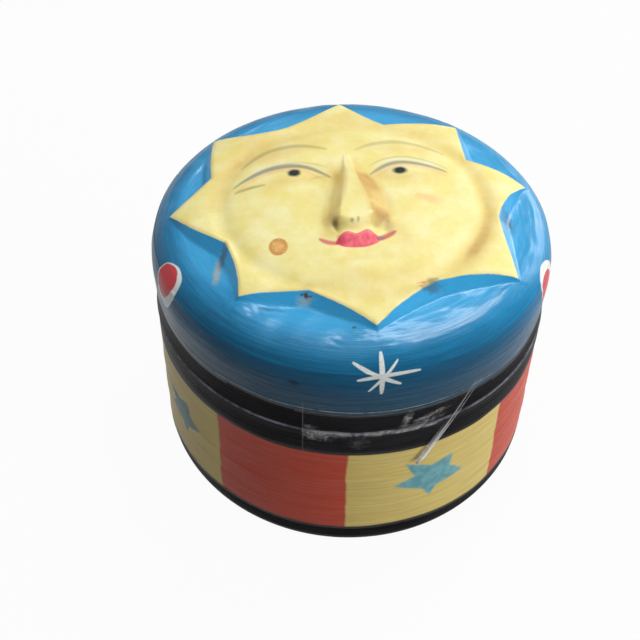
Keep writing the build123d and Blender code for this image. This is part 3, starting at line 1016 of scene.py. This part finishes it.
def makeBase(materials):
    s, q = baseShape, basePaint
    profile = baseProfile()
    rings, columns = len(profile), s.columns
    angle = np.broadcast_to(np.arange(columns) * 2 * pi / columns, (rings, columns))
    radius, height = (np.broadcast_to(profile[:, k:k + 1], angle.shape) for k in (0, 1))
    # the wall is pulled in a little by slow waves and by shallow grooves of the lathe
    x, y = polar(radius, angle)
    waves, grooves = ripple(x, y, height * 1.6, 16, 12), ripple(0.25 * x, 0.25 * y, height * 5, 9, 4)
    pull = 0.10 * (waves - 1.1) + 0.05 * (grooves - 1.1)
    pull = pull * fade(seam, seam - 2.5, height) * fade(1, 9, height)
    outer = (radius > s.rim - 0.05) & (height > 1) & (height < seam - 0.4)
    points = np.stack([*polar(radius + pull * outer, angle), height], -1).reshape(-1, 3)
    points = np.concatenate([points, [[0, 0, s.floor], [0, 0, 0]]])
    # blocks: signed distance to the nearest boundary, above nothing on the red ones
    degrees, first = np.degrees(angle), q.blocks[0]
    number = sum(((degrees - first) % 360 >= (bearing - first) % 360).astype(int) for bearing in q.blocks)
    block = np.min([np.abs(around(degrees, bearing, q.wallRadius)) for bearing in q.blocks], 0)
    block = np.where(number % 2 == 1, block, -block)
    stars = [patchDistance(*turned(around(degrees, bearing, q.wallRadius), height - level, turn),
                           np.array(q.starCorners) * size, 14) for bearing, level, turn, size in q.stars]
    star = np.where(radius > s.collar + 0.8, np.max(stars, 0), unpainted)
    marks = {"block": np.r_[block.ravel(), -9, -9], "star": np.r_[star.ravel(), -20, -20]}
    # materials: 0 the paint, 1 the black band, 2 bare wood inside, 3 the black foot
    level = profile[:-1, 1]
    which = np.where(level > q.bandBottom + 1.2, 1, np.where(level < q.footTop - 0.9, 3, 0))
    which[:int(np.argmax(profile[:, 0] >= s.collar - 0.01)) + 3] = 2
    which = np.r_[np.repeat(which, columns), np.full(columns, 2), np.full(columns, 3)]
    makePiece("baseWood", points, closedGrid(rings, columns), materials, "base", "jar_base",
              marks, which)


def makeBasePaint():
    c = basePaint
    material, shader = newMaterial("paintedBase", Specular_IOR_Level=0.12)
    point = millimetres()
    x, y, z = split(point)
    streaks, fine = brushed(point, 2.2, 1.5, 5.0)
    lines = step(streaks, 0.3, 0.75)
    # the left side is painted darker as painted shade, and its star darker still
    yellow = lay(c.yellow, (c.yellowPale, lines), (c.yellowDark, step(fine, 0.52, 0.72, 0.4)),
                 (c.grime, step(x, -30.0, -49.0), 0.4))
    red = lay(c.red, (c.redPale, lines), (c.redDark, step(fine, 0.56, 0.75, 0.35)))
    teal = lay(c.teal, (c.tealDark, step(grain(point, 0.45, 3.0), 0.4, 0.65)),
               (c.tealDeep, step(x, -36.0, -42.0, 0.9)))
    black = lay(c.black, (c.blackPale, step(streaks, 0.5, 0.78, 0.4)))
    above = edge(point, minus(z, c.bandBottom), 0.35, 0.06, 0.2)
    below = edge(point, minus(c.footTop, z), 0.5, 0.06, 0.4)
    base = lay(yellow, (red, edge(point, "block", 1.0, 0.09, 0.4)),
               (teal, edge(point, "star", 0.35, 0.35, 0.4), 0.93), (black, highest(above, below)))
    relief = plus(streaks, times(fine, 0.6))
    return finished(material, shader, base, timesPlus(fine, 0.22, 0.32), relief, 0.6, 0.2)


makeBase([makeBasePaint(), satinBlack, woodInside, footBlack])

# Tape. It stands just clear of the widest wood. The fold and the loose end are shares of its length.
tapeShape = Values(
    radius=51.2, thick=0.1, leftX=-16.7, rightTopX=26.0, rightBottomX=15.4, hang=5.0,
    loose=0.905, fold=0.952, columns=301, rows=31,
)
# Marks on the film, in mm from its lower left corner: smears as centre, half widths, turn, strength;
# lines across it as share of its length, half width, strength, fading upwards
filmMarks = Values(
    length=43.0, width=19.0, joint=8.5, tone="FFFFFF", least=0.004, jointDust=0.24,
    folded=0.5,
    smears=[
        ((3.2, 7.5), (3.8, 1.5), -6, 0.28), ((1.8, 10.3), (1.8, 0.8), 10, 0.12),
        # these two long thin smears along the joint are glue and painted highlight of the seam
        ((9.0, 8.6), (4.0, 0.9), 0, 0.26), ((20.5, 8.8), (4.5, 0.8), 3, 0.26),
        ((26.4, 12.6), (1.0, 2.4), 12, 0.2), ((33.0, 12.4), (3.6, 0.8), 12, 0.18),
        ((31.0, 10.0), (5.0, 1.0), 8, 0.15), ((16.5, 5.0), (2.6, 1.5), 0, 0.05),
        # the last smear, at the foot of the fold, is a painted highlight
        ((42.0, 0.3), (1.6, 2.6), 0, 1.0),
    ],
    lines=[(0.004, 0.005, 0.06, 0.0), (0.952, 0.008, 0.55, 0.85), (0.996, 0.006, 0.4, 0.85)],
)


def makeTape(material):
    # A thin closed sheet on a grid: across it runs the bearing between its two ends, up it the level.
    # Its right end has a slanting cut, hangs lower, and lifts a little in a fold.
    s = tapeShape
    low, high = tapeLow[2], tapeHigh[2]
    across, up = np.meshgrid(np.linspace(0, 1, s.columns), np.linspace(0, 1, s.rows))
    z = low + (high - low) * up - s.hang * fade(s.loose, s.loose + 0.023, across) * (1 - up)
    right = s.rightBottomX + (s.rightTopX - s.rightBottomX) * (z - low) / (high - low)
    start, end = -acos(s.leftX / s.radius), -np.arccos(right / s.radius)
    angle = start + (end - start) * across
    lift = (0.3 * fade(0.9, 1.0, across) + 0.75 * bell(across, s.fold, 0.011)) * (1.1 - 0.7 * up)
    radius = s.radius + np.maximum(lift + 0.04 * ripple(across * 60, z, 0, 9, 21), 0)
    points = np.concatenate([np.stack([*polar(radius + offset, angle), z], -1).reshape(-1, 3)
                             for offset in (s.thick, 0.0)])
    rows, columns = z.shape
    i, j = np.meshgrid(np.arange(rows - 1), np.arange(columns - 1), indexing="ij")
    a, count = i * columns + j, rows * columns
    outer = np.stack([a, a + 1, a + columns + 1, a + columns], -1).reshape(-1, 4)
    inner = outer[:, ::-1] + count
    # the rim: along the bottom row, up the right side, back along the top and down the left
    grid = np.arange(count).reshape(rows, columns)
    rim = np.r_[grid[0], grid[1:, -1], grid[-1, -2::-1], grid[-2:0:-1, 0]]
    after = np.roll(rim, -1)
    sides = np.stack([rim, rim + count, after + count, after], -1)
    marks = {"across": np.tile(across.ravel(), 2), "up": np.tile(up.ravel(), 2)}
    makePiece("tapeFilm", points, outer.tolist() + inner.tolist() + sides.tolist(), [material], "base",
              "clear_tape", marks)


def makeFilm():
    # almost clear: only edges, glue smears, dust and painted highlight along the seam, the folded end and a
    # painted glint at its foot catch light
    f = filmMarks
    material, shader = newMaterial("clearFilm", Base_Color=f.tone, Roughness=0.3, Specular_IOR_Level=0.4)
    across, up = mark("across"), mark("up")
    flat = joined(times(across, f.length), times(up, f.width), 0.0)
    broken = step(grain(flat, 0.55, 5.0, 0.7, 0.4), 0.42, 0.62)
    alpha = times(step(apart(split(flat)[1], f.joint), 0.75, 0.15, f.jointDust), broken)
    for centre, size, turn, strength in f.smears:
        smear = dab(flat, centre, size, turn, 0.7, 0.9)["Mask"]
        alpha = highest(alpha, times(smear, timesPlus(broken, 0.75, 0.25), strength))
    for place, half, strength, faint in f.lines:
        line = step(apart(across, place), half, half * 0.35, strength)
        alpha = highest(alpha, times(line, timesPlus(up, -faint, 1.0)))
    folded = times(step(across, 0.93, 0.942), step(up, 0.6, 0.0), f.folded)
    put(shader.inputs["Alpha"], highest(calc("ADD", alpha, folded, clamp=True), f.least))
    return material


makeTape(makeFilm())

# Camera, floor and light
cameraView = Values(bearing=-6.0, tilt=47.0666, roll=-0.79756, distance=293.044, across=-7.676,
                    upward=-10.547, lens=61.875)
# Round lamps: direction from the box, distance, size, power, and whether it only makes highlights
# or only lights evenly
lamps = {
    "window": ((0.25, 0.39, 0.88), 0.8, 0.40, 5.2, True),
    "doorway": ((0.78, 0.56, 0.34), 0.9, 0.60, 6.0, True),
    "daylight": ((0.27, 0.38, 0.88), 0.8, 0.40, 2.6, False),
    "rightSide": ((0.72, 0.60, 0.36), 0.9, 0.46, 1.8, False),
    "ceiling": ((-0.11, -0.12, 1.0), 0.9, 0.8, 3.6, False),
    "fill": ((0.83, -0.53, 0.26), 1.0, 0.6, 5.9, False),
}
lightLevels = Values(floorGlow=1.06, floorShare=0.9, world=0.08)


def makeCamera():
    # placed by its distance from the middle of the seam, along a line that tilts down by tilt
    v = cameraView
    turn = Matrix.Rotation(radians(v.bearing), 3, "Z")
    tilt, roll = radians(v.tilt), radians(v.roll)
    right = turn.col[0].copy()
    ahead = turn.col[1] * cos(tilt) - turn.col[2] * sin(tilt)
    upward = turn.col[1] * sin(tilt) + turn.col[2] * cos(tilt)
    xAxis = right * cos(roll) - upward * sin(roll)
    yAxis = right * sin(roll) + upward * cos(roll)
    data = bpy.data.cameras.new("camera")
    data.lens, data.sensor_width = v.lens, 36.0
    data.clip_start, data.clip_end = 0.01, 20
    camera = addObject("camera", data)
    matrix = Matrix((xAxis, yAxis, -ahead)).transposed().to_4x4()
    matrix.translation = (right * v.across + upward * v.upward - ahead * v.distance) * metre
    matrix.translation.z += seam * metre
    camera.matrix_world = matrix
    scene.camera = camera


def shownRays():
    # 1 for what the camera, mirrors and glass see directly
    path = node("LightPath").outputs
    return highest(path["Is Camera Ray"], path["Is Glossy Ray"], path["Is Transmission Ray"])


def makeFloor():
    size = 6.0
    mesh = bpy.data.meshes.new("floor")
    mesh.from_pydata([(-size, -size, 0), (size, -size, 0), (size, size, 0), (-size, size, 0)], [],
                     [(0, 1, 2, 3)])
    material, shader = newMaterial("paleFloor", Base_Color=(0.3, 0.3, 0.3, 1), Roughness=0.9,
                                   Specular_IOR_Level=0.0)
    glow = node("Emission", ((1, 1, 1, 1), lightLevels.floorGlow))
    share = times(shownRays(), lightLevels.floorShare)
    mix = node("MixShader", (share, shader.outputs[0], glow.outputs[0]))
    put(material.node_tree.nodes["Material Output"].inputs["Surface"], mix.outputs[0])
    mesh.materials.append(material)
    addObject("floor", mesh)


def makeWorld(strength):
    # white where it is seen, and dim as a light
    scene.world = world = bpy.data.worlds.new("softRoom")
    world.use_nodes = True
    building["tree"] = world.node_tree
    background = world.node_tree.nodes["Background"].inputs
    background[0].default_value = (1, 1, 1, 1)
    put(background[1], timesPlus(shownRays(), 1 - strength, strength))


def makeLamp(name, way, distance, size, power, mirrored):
    data = bpy.data.lights.new(name, "AREA")
    data.shape, data.size, data.energy = "DISK", size, power
    lamp = addObject(name, data)
    way = Vector(way).normalized()
    matrix = way.to_track_quat("Z", "Y").to_matrix().to_4x4()
    matrix.translation = way * distance + Vector((0, 0, 0.05))
    lamp.matrix_world = matrix
    lamp.visible_glossy, lamp.visible_diffuse = mirrored, not mirrored


scene.view_settings.view_transform = "Standard"
makeCamera()
makeFloor()
makeWorld(lightLevels.world)
for lampName, values in lamps.items():
    makeLamp(lampName, *values)
print("camera, floor and light made")

bpy.context.view_layer.update()
bpy.context.view_layer.update()
